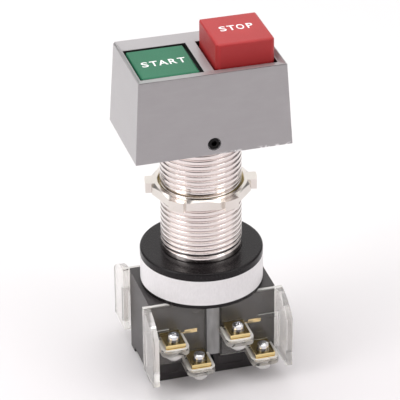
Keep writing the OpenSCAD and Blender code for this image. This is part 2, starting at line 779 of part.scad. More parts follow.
// A steel rod from its button down to a foot that reaches over its plunger
module push_rod(side) {
    foot_end = block_pitch / 2 + plunger_d / 2;
    foot_start = rod_x - rod_d / 2 - foot_margin;
    color([0.75, 0.75, 0.77]) {
        translate([side * rod_x, 0, foot_plate_z])
            cylinder(d = rod_d, h = spring_seat_z + rod_grip - foot_plate_z);
        translate([side * (foot_start + foot_end) / 2, 0, foot_plate_z]) linear_extrude(foot_plate_t)
            round_rect(foot_end - foot_start, foot_plate_d, foot_corner_r);
    }
}

module rod_clip(side) {
    color([0.5, 0.5, 0.52]) translate([side * rod_x, 0, sleeve_end_z - clip_t - tip_gap])
        ring(clip_d, rod_d + 2 * slip_fit, clip_t);
}

module rod_seals() {
    color([0.12, 0.12, 0.12]) for (side = [LEFT, RIGHT]) {
        translate([side * rod_x, 0, plate_top_z - seal_t]) ring(seal_d, rod_d + 2 * run_fit, seal_t);
    }
}

module spring_washers() {
    color([0.7, 0.7, 0.72]) for (side = [LEFT, RIGHT]) {
        translate([side * rod_x, 0, plate_top_z]) ring(return_spring_d, rod_d + 2 * run_fit, spring_washer_t);
    }
}

module return_spring(side) {
    color([0.7, 0.7, 0.72]) translate([side * rod_x, 0, spring_foot_z])
        coil(return_spring_d, return_wire, return_len, return_turns);
}

module start_button() {
    color([0.2, 0.55, 0.4]) button_cap(LEFT, start_top_z);
}

module stop_button() {
    color([0.8, 0.2, 0.22]) button_cap(RIGHT, stop_top_z);
}

// Contact blocks

module block_screw_holes(z0, z1, d) {
    for (sy = [-1, 1]) {
        translate([0, sy * block_screw_y, z0]) cylinder(d = d, h = z1 - z0);
    }
}

// The slots through the upper casing's end walls, one for each contact strip
module strip_slots() {
    for (level = [[-term_x, term_upper_z], [term_x, term_lower_z]]) {
        translate([level[0], -face_y, level[1] - strip_t / 2])
            cube([strip_inner_w + 2 * slip_fit, 4 * end_wall, strip_t + 2 * slip_fit], center = true);
    }
}

module upper_case() {
    color([0.13, 0.13, 0.13]) difference() {
        translate([0, 0, split_h]) linear_extrude(block_h - split_h) round_rect(block_w, block_d, case_r);
        translate([0, 0, split_h - 1]) linear_extrude(block_h - roof_t - split_h + 1)
            square([cavity_w, cavity_d], center = true);
        translate([0, 0, block_h - roof_t - 1]) cylinder(d = plunger_d + 2 * move_gap, h = roof_t + 2);
        block_screw_holes(split_h - 1, block_h + 1, block_screw_d + 2 * slip_fit);
        front_and_back() {
            strip_slots();
            for (z = [block_h - mark_drop, split_h + mark_rise]) {
                translate([mark_x, -face_y + mark_depth, z]) rotate([90, 0, 0]) cylinder(d = mark_d, h = 1);
            }
        }
    }
}

module lower_case() {
    color([0.11, 0.11, 0.11]) difference() {
        linear_extrude(split_h) round_rect(block_w, block_d, case_r);
        translate([0, 0, floor_t]) linear_extrude(split_h) square([cavity_w, cavity_d], center = true);
        translate([0, 0, -1]) linear_extrude(foot_h + 1)
            square([block_w + 2, block_d - 2 * foot_d], center = true);
        block_screw_holes(-1, split_h + 1, block_screw_d + 2 * slip_fit);
        head_top_z = block_screw_sink + block_screw_head_h + slip_fit;
        block_screw_holes(-1, head_top_z, block_screw_head_d + 2 * slip_fit);
        front_and_back() translate([-frame_x, -face_y + mark_depth, (foot_h + split_h) / 2])
            rotate([90, 0, 0]) linear_extrude(1) difference() {
                square([frame_w, frame_h], center = true);
                square([frame_w - 2 * frame_line, frame_h - 2 * frame_line], center = true);
            }
    }
}

// One contact strip: the terminal plate with its lip outside, the contact end inside
module contact_strip(u, z, tip_side) {
    lip_y = face_y + strip_reach;
    translate([u, 0, z - strip_t]) difference() {
        union() {
            translate([-strip_w / 2, -lip_y, 0]) cube([strip_w, strip_reach, strip_t]);
            translate([-strip_w / 2, -lip_y, strip_t - lip_h]) cube([strip_w, lip_t, lip_h]);
            translate([-strip_inner_w / 2, -face_y - eps, 0])
                cube([strip_inner_w, face_y - strip_inner_y + eps, strip_t]);
            translate([0, -tip_y, tip_side > 0 ? strip_t : -tip_h]) cylinder(d = tip_d, h = tip_h);
        }
        translate([0, -face_y - term_screw_y, -1]) cylinder(d = term_screw_d + 2 * slip_fit, h = strip_t + 2);
        translate([-strip_w, -lip_y - 1, strip_t - lip_groove_drop - lip_groove_h])
            cube([2 * strip_w, 1 + lip_groove_t, lip_groove_h]);
    }
}

// The arm of an upper strip, seen through the cover above the lower terminal
module strip_arm() {
    translate([-term_x, -face_y - arm_t, term_upper_z - strip_t - arm_h + eps]) difference() {
        cube([strip_w / 2 + arm_len, arm_t, arm_h]);
        translate([strip_w / 2 + arm_notch_x, -1, arm_h - arm_notch_h]) cube([arm_notch_w, 2 + arm_t, arm_h]);
    }
}

module terminals() {
    color([0.85, 0.68, 0.35]) front_and_back() {
        contact_strip(-term_x, term_upper_z, -1);
        contact_strip(term_x, term_lower_z, 1);
        strip_arm();
    }
}

// Everything that repeats at the two terminals of one face
module at_terminals() {
    for (place = [[-term_x, term_upper_z], [term_x, term_lower_z]]) {
        translate([place[0], -face_y - term_screw_y, place[1]]) children();
    }
}

module terminal_screws() {
    under_head = washer_t + lock_washer_t;
    shank_len = boss_drop - boss_floor_t - tip_gap;
    dome_r = (pow(term_head_d / 2, 2) + pow(term_dome_h, 2)) / (2 * term_dome_h);
    color([0.8, 0.8, 0.82]) front_and_back() at_terminals() {
        difference() {
            translate([0, 0, under_head]) intersection() {
                cylinder(d = term_head_d, h = term_head_h);
                translate([0, 0, term_head_h - dome_r]) sphere(dome_r);
            }
            for (a = [45, 135]) {
                translate([0, 0, under_head + term_head_h]) rotate([0, 0, a])
                    cube([term_slot_len, term_slot_w, 2 * term_slot_h], center = true);
            }
        }
        translate([0, 0, -shank_len]) cylinder(d = term_screw_d, h = shank_len + under_head + eps);
    }
}

module terminal_washers() {
    color([0.72, 0.72, 0.74]) front_and_back() at_terminals() {
        ring(washer_d, term_screw_d + 2 * slip_fit, washer_t);
        translate([0, 0, washer_t]) difference() {
            ring(term_head_d, term_screw_d + 2 * slip_fit, lock_washer_t);
            translate([0, -term_head_d / 2, 0]) cube([washer_split, term_head_d, 4 * lock_washer_t], center = true);
        }
    }
}

// The wing's outline, its top edge curving down towards the front
module wing_form() {
    h = cover_top_z - wing_z;
    intersection() {
        translate([0, -face_y - wing_reach, wing_z]) cube([wing_t, wing_reach, h]);
        translate([0, -face_y + 0.5, cover_top_z - wing_r]) rotate([0, 90, 0])
            cylinder(r = wing_r, h = wing_t);
    }
    // Below the curve's centre the wing keeps its full reach
    translate([0, -face_y - wing_reach, wing_z]) cube([wing_t, wing_reach, wing_front_top_z() - wing_z]);
}

// Height at which the curved shoulder meets the wing's front edge
function wing_front_top_z() = cover_top_z - wing_r + sqrt(wing_r * wing_r - pow(wing_reach + 0.5, 2));

module tray(u, z) {
    front_y = -face_y - strip_reach - tray_gap - tray_wall;
    rim = z - tray_drop;
    inner_w = tray_w - 2 * tray_wall;
    back_y = -cover_y + eps;
    difference() {
        translate([u, 0, rim - tray_h]) linear_extrude(tray_h) tray_outline(tray_w, tray_r, front_y, back_y);
        translate([u, 0, rim - tray_h + tray_wall]) linear_extrude(tray_h)
            tray_outline(inner_w, tray_r - tray_wall, front_y + tray_wall, back_y + 1);
        translate([u, -face_y - term_screw_y, 0]) cylinder(d = boss_d - 2 * boss_wall, h = block_h);
    }
    difference() {
        translate([u, -face_y - term_screw_y, z - boss_drop]) difference() {
            union() {
                cylinder(d1 = boss_d - 2 * boss_taper, d2 = boss_d, h = boss_taper);
                translate([0, 0, boss_taper]) cylinder(d = boss_d, h = boss_drop - strip_t - boss_taper);
            }
            translate([0, 0, boss_floor_t]) cylinder(d = term_screw_d + 2 * slip_fit, h = boss_drop);
        }
        // Room for the plate's lip
        translate([u - strip_w / 2 - slip_fit, -face_y - strip_reach - 1, z - lip_h - slip_fit])
            cube([strip_w + 2 * slip_fit, lip_t + 1 + slip_fit, lip_h + 1]);
    }
}

// A rectangle whose two front corners are round
module tray_outline(w, r, front_y, back_y) {
    translate([-w / 2, front_y + r]) square([w, back_y - front_y - r]);
    translate([-w / 2 + r, front_y]) square([w - 2 * r, r + eps]);
    for (sx = [-1, 1]) {
        translate([sx * (w / 2 - r), front_y + r]) circle(r);
    }
}

// A clear cover for the front of a block: plate, rims, two trays with bosses, and one wing
module front_cover(side) {
    plate_bottom_z = term_lower_z - tray_drop - tray_h;
    plate_h = cover_top_z - plate_bottom_z;
    wide = outer_u + inner_u;
    mid = side * (outer_u - inner_u) / 2;
    rim_mid_y = -cover_y + (cover_gap + cover_t) / 2;
    difference() {
        union() {
            translate([mid, -cover_y + cover_t / 2, plate_bottom_z + plate_h / 2])
                cube([wide, cover_t, plate_h], center = true);
            // Rims at the top edge and the inner edge, back to the block's face
            translate([mid, rim_mid_y, cover_top_z - cover_rim_t / 2])
                cube([wide, cover_gap + cover_t, cover_rim_t], center = true);
            translate([-side * (inner_u - cover_rim_t / 2), rim_mid_y, plate_bottom_z + plate_h / 2])
                cube([cover_rim_t, cover_gap + cover_t, plate_h], center = true);
            translate([side * (block_w / 2) + (side < 0 ? -wing_t : 0), 0, 0]) wing_form();
            translate([side * (outer_u + term_x) / 2, -cover_y - rib_t / 2 + eps,
                term_upper_z - rib_drop + rib_h / 2])
                cube([outer_u - term_x, rib_t, rib_h], center = true);
        }
        // Windows for the two strips
        for (place = [[-term_x, term_upper_z], [term_x, term_lower_z]]) {
            translate([place[0], -cover_y, place[1] - lip_h / 2])
                cube([strip_w + 4 * slip_fit, 3 * cover_t + 1, lip_h + 4 * slip_fit], center = true);
        }
        // The slot along the wing's root
        translate([side * (block_w / 2 + wing_t / 2), -cover_y - wing_slot_inset,
            wing_z + wing_slot_rise + wing_slot_h / 2])
            cube([wing_t + 2, wing_slot_w, wing_slot_h], center = true);
    }
    tray(-term_x, term_upper_z);
    tray(term_x, term_lower_z);
}

module cover_color() {
    color([0.93, 0.92, 0.9, 0.5]) children();
}

// Strips that fill the joint between the two blocks, with a tongue between the casings
module block_links() {
    tongue_w = block_pitch - block_w - 2 * slip_fit;
    h = cover_top_z - split_h;
    color([0.5, 0.5, 0.5]) front_and_back() translate([0, 0, split_h]) {
        translate([-link_w / 2, -face_y - link_t, 0]) cube([link_w, link_t, h]);
        translate([-tongue_w / 2, -face_y - eps, 0]) cube([tongue_w, link_tongue_d, h]);
    }
}

module block_screws() {
    color([0.72, 0.72, 0.74]) for (side = [LEFT, RIGHT]) at_block(side) for (sy = [-1, 1]) {
        translate([0, sy * block_screw_y, block_screw_sink]) difference() {
            union() {
                cylinder(d = block_screw_head_d, h = block_screw_head_h);
                cylinder(d = block_screw_d, h = block_h + block_screw_grip - block_screw_sink);
            }
            cube([block_screw_head_d + 1, block_screw_slot_w, 2 * block_screw_slot_h], center = true);
        }
    }
}

// Plunger and carrier: a stem through the roof, a shoulder, and the carrier with two windows
module plunger() {
    roof_z = block_h - roof_t;
    color([0.35, 0.1, 0.1]) difference() {
        union() {
            translate([0, 0, carrier_z + carrier_h / 2]) cube([carrier_w, carrier_d, carrier_h], center = true);
            translate([0, 0, carrier_top_z - eps])
                cylinder(d = plunger_shoulder_d, h = roof_z - carrier_top_z - tip_gap + eps);
            translate([0, 0, carrier_top_z]) cylinder(d = plunger_d, h = plunger_top_z - carrier_top_z);
        }
        translate([-term_x, 0, carrier_z + carrier_base_t])
            bridge_window(contact_room + window_spare);
        translate([term_x, 0, open_bridge_z]) bridge_window(contact_room);
    }
}

module bridge_window(h) {
    translate([-bridge_w / 2 - slip_fit, -carrier_d, 0]) cube([bridge_w + 2 * slip_fit, 2 * carrier_d, h]);
}

module bridge(tips_up) {
    translate([0, 0, bridge_t / 2]) cube([bridge_w, bridge_len, bridge_t], center = true);
    for (sy = [-1, 1]) {
        translate([0, sy * tip_y, tips_up ? bridge_t : -tip_h]) cylinder(d = tip_d, h = tip_h);
    }
}

module bridges() {
    color([0.85, 0.72, 0.5]) {
        translate([-term_x, 0, closed_bridge_z]) bridge(true);
        translate([term_x, 0, open_bridge_z]) bridge(false);
    }
}

module contact_springs() {
    len = contact_room - bridge_t - slip_fit;
    color([0.7, 0.7, 0.72]) {
        translate([-term_x, 0, closed_bridge_z - len])
            coil(contact_spring_d, contact_wire, len, contact_turns, 6, 10);
        translate([term_x, 0, open_bridge_z + bridge_t])
            coil(contact_spring_d, contact_wire, len, contact_turns, 6, 10);
    }
}

module plunger_spring() {
    color([0.7, 0.7, 0.72]) translate([0, 0, floor_t])
        coil(plunger_spring_d, plunger_wire, carrier_z - floor_t, plunger_turns);
}

head_housing();
head_base();
button_guide();
set_screw();
threaded_sleeve();
retaining_ring();
rod_guide();
rod_seals();
spring_washers();
base_disc();
label_band();
lock_nut();
start_button();
push_rod(LEFT);  // start_push_rod
rod_clip(LEFT);  // start_rod_clip
return_spring(LEFT);  // start_spring
stop_button();
push_rod(RIGHT);  // stop_push_rod
rod_clip(RIGHT);  // stop_rod_clip
return_spring(RIGHT);  // stop_spring
at_block(LEFT) upper_case();  // left_upper_case
at_block(LEFT) lower_case();  // left_lower_case
at_block(RIGHT) upper_case();  // right_upper_case
at_block(RIGHT) lower_case();  // right_lower_case
cover_color() at_block(LEFT) front_cover(LEFT);  // left_front_cover
cover_color() at_block(LEFT) mirror([0, 1, 0]) front_cover(LEFT);  // left_back_cover
cover_color() at_block(RIGHT) front_cover(RIGHT);  // right_front_cover
cover_color() at_block(RIGHT) mirror([0, 1, 0]) front_cover(RIGHT);  // right_back_cover
at_block(LEFT) terminals();  // left_terminals
at_block(RIGHT) terminals();  // right_terminals
at_block(LEFT) terminal_screws();  // left_terminal_screws
at_block(RIGHT) terminal_screws();  // right_terminal_screws
at_block(LEFT) terminal_washers();  // left_washers
at_block(RIGHT) terminal_washers();  // right_washers
block_screws();
block_links();
at_block(LEFT) plunger();  // left_plunger
at_block(LEFT) bridges();  // left_bridges
at_block(LEFT) contact_springs();  // left_contact_springs
at_block(LEFT) plunger_spring();  // left_plunger_spring
at_block(RIGHT) plunger();  // right_plunger
at_block(RIGHT) bridges();  // right_bridges
at_block(RIGHT) contact_springs();  // right_contact_springs
at_block(RIGHT) plunger_spring();  // right_plunger_spring
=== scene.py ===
import json
import math

import bmesh
import bpy
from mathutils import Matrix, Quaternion, Vector

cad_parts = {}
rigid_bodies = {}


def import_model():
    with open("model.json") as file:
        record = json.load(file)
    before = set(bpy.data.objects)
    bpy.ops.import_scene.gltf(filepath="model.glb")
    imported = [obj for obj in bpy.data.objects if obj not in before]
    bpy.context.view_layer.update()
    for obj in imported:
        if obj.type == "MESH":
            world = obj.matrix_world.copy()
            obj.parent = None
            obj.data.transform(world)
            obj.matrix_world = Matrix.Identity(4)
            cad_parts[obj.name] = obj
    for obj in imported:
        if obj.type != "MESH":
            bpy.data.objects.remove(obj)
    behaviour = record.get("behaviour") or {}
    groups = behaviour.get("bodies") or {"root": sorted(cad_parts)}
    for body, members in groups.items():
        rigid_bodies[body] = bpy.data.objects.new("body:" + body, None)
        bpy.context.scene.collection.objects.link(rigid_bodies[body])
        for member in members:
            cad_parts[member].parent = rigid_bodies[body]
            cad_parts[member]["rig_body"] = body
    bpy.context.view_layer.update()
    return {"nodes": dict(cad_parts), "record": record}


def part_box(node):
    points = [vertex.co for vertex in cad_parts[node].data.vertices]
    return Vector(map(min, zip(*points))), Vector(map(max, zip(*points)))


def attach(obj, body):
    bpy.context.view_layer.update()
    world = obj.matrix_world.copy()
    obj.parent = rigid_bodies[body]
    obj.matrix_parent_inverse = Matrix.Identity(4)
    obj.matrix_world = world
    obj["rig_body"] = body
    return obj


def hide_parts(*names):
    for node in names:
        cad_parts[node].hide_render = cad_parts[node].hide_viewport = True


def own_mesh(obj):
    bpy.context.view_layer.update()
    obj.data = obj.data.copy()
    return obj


# The looks of a double push button: START and STOP in a tapering head, on a threaded sleeve
# with a lock nut, over a round base and two contact blocks with clear terminal covers.
# Lengths are in metres, except in the tables that say millimetres.

MM = 0.001

# The photographer's place, fitted to the edges of the object
CAMERA_AZIMUTH = -15.99
CAMERA_ELEVATION = 29.29
CAMERA_ROLL = -0.547
CAMERA_DISTANCE = 0.94657
CAMERA_TARGET = Vector((0.00315, 0.01216, 0.0600))
CAMERA_LENS = 227.25
CAMERA_SENSOR = 36
CAMERA_NEAR = 0.01
CAMERA_FAR = 20

# The studio: a paper floor, white walls and square softboxes
FLOOR_SIZE = 4.0
WALL_STRENGTH = 1.09
WALL_COLOR = (1.0, 0.985, 0.98)
# Where the walls leave a dark gap: its direction from the object, and the cosines of its outer
# and inner edge. The last one is the dim side of the room, behind the camera.
WALL_GAPS = (
    ((-0.69, 0.72, 0.10), 0.82, 0.94),
    ((0.97, 0.24, 0.10), 0.82, 0.94),
    ((-0.25, -0.84, 0.49), 0.76, 0.92),
)
GAP_COLOR = (0.05, 0.048, 0.048)
# Name, place, side and power of each softbox
SOFTBOXES = (
    ("top", (-0.15, 0.05, 1.0), 1.4, 6.4),
    ("left", (-0.96, -0.26, 0.58), 0.5, 2.8),
    ("right", (0.70, -0.76, 0.58), 0.4, 1.3),
)
SOFTBOX_AIM = Vector((0, 0, 0.07))

# Sleeve with its thread, 12 turns to the inch
SLEEVE_RADIUS = 15.08 * MM
SLEEVE_BORE_RADIUS = 12.0 * MM
SLEEVE_EDGE = 0.2 * MM
NECK_RADIUS = 14.6 * MM
FLANGE_THICKNESS = 2.0 * MM
THREAD_PITCH = 25.4 / 12 * MM
THREAD_DEPTH = 0.8 * MM
THREAD_ROOT_RADIUS = SLEEVE_RADIUS - THREAD_DEPTH
THREAD_STEPS = 96
# The unthreaded foot, from the neck up to the root of the thread: radius and height over the
# base disc's top, in millimetres
SLEEVE_FOOT = ((15.0, 0.1), (15.0, 0.9), (14.75, 2.1))
NECK_END = -0.4 * MM
ROOT_START = 2.4 * MM
# Middle of the first turn over the base disc's top, and room left under the sleeve's top, in
# pitches
THREAD_START = 1.02
THREAD_END = 0.6
# How deep the ridge is sunk into the core
RIDGE_SINK = 0.3 * MM
# A flank of the ridge: share of the thread's depth, and share of half the pitch
FLANK = ((0.0, 1.0), (0.1, 0.92), (0.68, 0.72), (0.9, 0.61), (0.98, 0.46), (1.0, 0.2))

# The nut's chamfer round the bore: where its yellow cast begins, and where it is full
NUT_CAST_START = 15.98 * MM
NUT_CAST_FULL = 15.75 * MM

# Contact blocks: middle of a block, its terminals and their screws
BLOCK_X = 12.4 * MM
TERMINAL_X = 4.9 * MM
SCREW_Y = 22.0 * MM
SCREW_PLACES = [
    Vector((side * BLOCK_X + offset, face * SCREW_Y))
    for side in (-1, 1) for offset in (-TERMINAL_X, TERMINAL_X) for face in (-1, 1)
]

# Clear covers: where the wing begins, the screw bosses, and the widths of the rims and edges that
# get a painted highlight
WING_X = 24.38 * MM
WING_EDGE_WIDTH = 2.7 * MM
BOSS_RADIUS = 3.2 * MM
RIM_WIDTH = 1.3 * MM
COVER_TOP_BAND = 1.0 * MM

# Room between the buttons and the head's windows, at most
WINDOW_GAP_X = 1.2 * MM
WINDOW_GAP_Y = 1.0 * MM

# Paint chips of the head: height over its lower edge, and along X from none to full
CHIP_TOP = 1.1 * MM
CHIP_FULL = 0.2 * MM
CHIP_X = (-1 * MM, 8 * MM)

# Words on the buttons: the middle of the letters along Y and of each one along X, in millimetres
WORDS = {
    "START": ("start_button", -0.75, (-20.5, -17.15, -13.9, -10.2, -6.85)),
    "STOP": ("stop_button", 0.8, (8.9, 12.12, 15.42, 19.0)),
}
LETTER_HEIGHT = 3.95 * MM
LETTER_RELIEF = 0.03 * MM
LETTER_STRETCH = {"S": 1.08, "T": 0.84, "A": 0.86, "R": 0.86, "O": 0.68, "P": 0.90}
# For a letter one unit high: how much bolder it is drawn, and a thickness that the relief replaces
LETTER_BOLDNESS = 0.014
LETTER_THICKNESS = 0.01
LETTER_SEGMENTS = 12

# Meshes: vertices nearer than this become one, and faces flatter than this are one face
CAD_WELD = 2e-6
WELD = 1e-6
FLAT_ANGLE = math.radians(0.6)
PAIR_SHAPE_ANGLE = math.radians(60)
AREA_TOLERANCE = 1e-4
SHARP_ANGLE = math.radians(30)
EDGE_SEGMENTS = 3
FLATS_WEIGHT = 80
# The normal's Z of a face that looks up, at least, and of one that stands upright, at most
LOOKS_UP = 0.9
STANDS_UPRIGHT = 0.1

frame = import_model()
NODES = frame["nodes"]
BODY_OF = {name: node["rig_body"] for name, node in NODES.items()}


# Shader helpers

def node_material(name, base, roughness, metallic=0.0):
    """A material with its Principled shader and the object's coordinates, ready for its pattern."""
    material = bpy.data.materials.new(name)
    material.use_nodes = True
    tree = material.node_tree
    shader = tree.nodes["Principled BSDF"]
    shader.inputs["Base Color"].default_value = (*base, 1)
    shader.inputs["Roughness"].default_value = roughness
    shader.inputs["Metallic"].default_value = metallic
    place = tree.nodes.new("ShaderNodeTexCoord")
    return material, tree, shader, place.outputs["Object"]


def along_axes(tree, place):
    """The X, Y and Z of a place, by name."""
    split = tree.nodes.new("ShaderNodeSeparateXYZ")
    tree.links.new(place, split.inputs["Vector"])
    return split.outputs


def noise(tree, place, scale, detail=4.0, roughness=0.55, stretch=(1, 1, 1)):
    """Noise in the object's own metres; a small share in stretch draws it out along that axis."""
    mapping = tree.nodes.new("ShaderNodeMapping")
    mapping.inputs["Scale"].default_value = stretch
    tree.links.new(place, mapping.inputs["Vector"])
    texture = tree.nodes.new("ShaderNodeTexNoise")
    texture.inputs["Scale"].default_value = scale
    texture.inputs["Detail"].default_value = detail
    texture.inputs["Roughness"].default_value = roughness
    tree.links.new(mapping.outputs["Vector"], texture.inputs["Vector"])
    return texture.outputs["Fac"]


def spread(tree, value, low, high, out_low=0.0, out_high=1.0):
    """Maps a range of a value to another range."""
    span = tree.nodes.new("ShaderNodeMapRange")
    span.inputs["From Min"].default_value = low
    span.inputs["From Max"].default_value = high
    span.inputs["To Min"].default_value = out_low
    span.inputs["To Max"].default_value = out_high
    tree.links.new(value, span.inputs["Value"])
    return span.outputs["Result"]


def calculate(tree, operation, first, second):
    """The sum or product of two values."""
    result = tree.nodes.new("ShaderNodeMath")
    result.operation = operation
    tree.links.new(first, result.inputs[0])
    tree.links.new(second, result.inputs[1])
    return result.outputs["Value"]


def blend_colors(tree, amount, first, second):
    """A colour between two others, each one a colour or a socket."""
    mix = tree.nodes.new("ShaderNodeMix")
    mix.data_type = "RGBA"
    tree.links.new(amount, mix.inputs["Factor"])
    for socket, color in ((mix.inputs["A"], first), (mix.inputs["B"], second)):
        if isinstance(color, tuple):
            socket.default_value = (*color, 1)
        else:
            tree.links.new(color, socket)
    return mix.outputs["Result"]


def add_bump(tree, shader, height, strength, distance):
    """Relief of a given depth in metres."""
    bump = tree.nodes.new("ShaderNodeBump")
    bump.inputs["Strength"].default_value = strength
    bump.inputs["Distance"].default_value = distance
    tree.links.new(height, bump.inputs["Height"])
    tree.links.new(bump.outputs["Normal"], shader.inputs["Normal"])


# Materials

def moulded_plastic(name, base, roughness, grain=0.2, tone=0.12, gloss=0.5):
    """Moulded plastic: fine grain, soft clouds of colour and a roughness that varies."""
    material, tree, shader, place = node_material(name, base, roughness)
    shader.inputs["Specular IOR Level"].default_value = gloss
    clouds = noise(tree, place, scale=90, detail=3)
    darker = tuple(c * (1 - tone) for c in base)
    color = blend_colors(tree, spread(tree, clouds, 0.35, 0.65), darker, base)
    tree.links.new(color, shader.inputs["Base Color"])
    grains = noise(tree, place, scale=2600, detail=3)
    level = spread(tree, grains, 0.3, 0.7, roughness - 0.05, roughness + 0.07)
    tree.links.new(level, shader.inputs["Roughness"])
    add_bump(tree, shader, grains, grain, distance=0.05 * MM)
    return material


def painted_casting():
    """Silver grey paint on a die casting, with faint level marks and chips at the lower edge."""
    material, tree, shader, place = node_material(
        "silver_grey_paint", (0.36, 0.35, 0.355), roughness=0.42, metallic=0.3)
    shader.inputs["Coat Weight"].default_value = 0.8
    shader.inputs["Coat Roughness"].default_value = 0.28
    clouds = spread(tree, noise(tree, place, scale=60, detail=4), 0.3, 0.7)
    tone = blend_colors(tree, clouds, (0.335, 0.32, 0.328), (0.36, 0.345, 0.353))
    marks = noise(tree, place, scale=330, detail=5, roughness=0.65, stretch=(0.3, 0.3, 1.3))
    faint = spread(tree, marks, 0.45, 0.8, out_high=0.22)
    color = blend_colors(tree, faint, tone, (0.42, 0.405, 0.415))
    chipped = blend_colors(tree, chips(tree, place), color, (0.85, 0.84, 0.84))
    tree.links.new(chipped, shader.inputs["Base Color"])
    grains = noise(tree, place, scale=3500, detail=3)
    level = spread(tree, grains, 0.3, 0.7, 0.36, 0.48)
    tree.links.new(level, shader.inputs["Roughness"])
    relief = calculate(tree, "ADD", grains, marks)
    add_bump(tree, shader, relief, strength=0.16, distance=0.08 * MM)
    return material


def chips(tree, place):
    """How far the paint is chipped off: small spots along the head's lower edge, to the right."""
    axes = along_axes(tree, place)
    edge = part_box("head_housing")[0].z
    near_edge = spread(tree, axes["Z"], edge + CHIP_TOP, edge + CHIP_FULL)
    to_right = spread(tree, axes["X"], *CHIP_X)
    speckle = noise(tree, place, scale=900, detail=3, roughness=0.6, stretch=(0.5, 1, 1))
    spots = spread(tree, speckle, 0.50, 0.56)
    return calculate(tree, "MULTIPLY", calculate(tree, "MULTIPLY", near_edge, to_right), spots)


def plated_metal(name, base, roughness, streak=(1, 1, 1), scale=900, stain=0.12):
    """Plated or drawn metal, with streaks of polish and a few dull spots."""
    material, tree, shader, place = node_material(name, base, roughness, metallic=1.0)
    streaks = noise(tree, place, scale, detail=4, stretch=streak)
    spots = noise(tree, place, scale=160, detail=3)
    dull = tuple(c * (1 - stain) for c in base)
    color = blend_colors(tree, spread(tree, spots, 0.45, 0.7), base, dull)
    tree.links.new(color, shader.inputs["Base Color"])
    level = spread(tree, streaks, 0.3, 0.7, roughness * 0.75, roughness * 1.35)
    tree.links.new(level, shader.inputs["Roughness"])
    add_bump(tree, shader, streaks, strength=0.10, distance=0.03 * MM)
    return material


def nut_metal():
    """Satin nickel, smooth, with a yellow cast in the chamfer round the bore."""
    base = (0.79, 0.75, 0.71)
    material, tree, shader, place = node_material("satin_nickel", base, 0.15, metallic=1.0)
    axes = along_axes(tree, place)
    level_place = tree.nodes.new("ShaderNodeCombineXYZ")
    tree.links.new(axes["X"], level_place.inputs["X"])
    tree.links.new(axes["Y"], level_place.inputs["Y"])
    radius = tree.nodes.new("ShaderNodeVectorMath")
    radius.operation = "LENGTH"
    tree.links.new(level_place.outputs["Vector"], radius.inputs[0])
    rim = spread(tree, radius.outputs["Value"], NUT_CAST_START, NUT_CAST_FULL)
    clouds = noise(tree, place, scale=130, detail=3)
    plate = blend_colors(tree, spread(tree, clouds, 0.3, 0.7), base, (0.73, 0.69, 0.64))
    color = blend_colors(tree, rim, plate, (0.42, 0.375, 0.19))
    tree.links.new(color, shader.inputs["Base Color"])
    turning = noise(tree, place, scale=500, detail=3)
    level = spread(tree, turning, 0.3, 0.7, 0.12, 0.18)
    tree.links.new(level, shader.inputs["Roughness"])
    add_bump(tree, shader, turning, strength=0.02, distance=0.02 * MM)
    return material


def clear_plastic(name, color, share, roughness, ior=1.49):
    """Clear moulding that bends the light; share is how much of the light goes through it."""
    material, tree, shader, place = node_material(name, color, roughness)
    shader.inputs["IOR"].default_value = ior
    shader.inputs["Transmission Weight"].default_value = share
    flow = noise(tree, place, scale=220, detail=3, stretch=(1, 1, 0.35))
    level = spread(tree, flow, 0.35, 0.7, roughness, roughness + 0.08)
    tree.links.new(level, shader.inputs["Roughness"])
    warm = tuple(c * t for c, t in zip(color, (0.99, 0.975, 0.95)))
    tint = blend_colors(tree, spread(tree, flow, 0.35, 0.65), warm, color)
    tree.links.new(tint, shader.inputs["Base Color"])
    add_bump(tree, shader, flow, strength=0.12, distance=0.1 * MM)
    return material


def frosted_link():
    """Frosted grey plastic between the blocks."""
    material, tree, shader, place = node_material("frosted_grey", (0.36, 0.36, 0.365), 0.35)
    clouds = noise(tree, place, scale=240, detail=3, stretch=(1, 1, 0.3))
    color = blend_colors(
        tree, spread(tree, clouds, 0.35, 0.65), (0.27, 0.27, 0.275), (0.46, 0.46, 0.465))
    tree.links.new(color, shader.inputs["Base Color"])
    add_bump(tree, shader, clouds, strength=0.1, distance=0.1 * MM)
    return material


def paper_label():
    """Coated white paper, bare."""
    material, tree, shader, place = node_material("white_label", (0.79, 0.77, 0.78), 0.38)
    fibres = noise(tree, place, scale=1500, detail=4, stretch=(1, 1, 0.4))
    color = blend_colors(
        tree, spread(tree, fibres, 0.3, 0.7), (0.76, 0.74, 0.75), (0.82, 0.80, 0.81))
    tree.links.new(color, shader.inputs["Base Color"])
    add_bump(tree, shader, fibres, strength=0.08, distance=0.03 * MM)
    return material


def floor_paper_painted_shade():
    """Seamless white paper with painted shade: its tone darkens towards the front, where less light
    falls.
    """
    material, tree, shader, place = node_material("paper_sweep", (0.9, 0.9, 0.9), 0.8)
    # Painted shade: the paper's tone falls from the back to the front of the floor.
    back = spread(tree, along_axes(tree, place)["Y"], -0.12, 0.12)
    tone = blend_colors(tree, back, (0.72, 0.687, 0.705), (0.78, 0.77, 0.775))
    tree.links.new(tone, shader.inputs["Base Color"])
    fibres = noise(tree, place, scale=700, detail=3)
    add_bump(tree, shader, fibres, strength=0.03, distance=0.1 * MM)
    return material


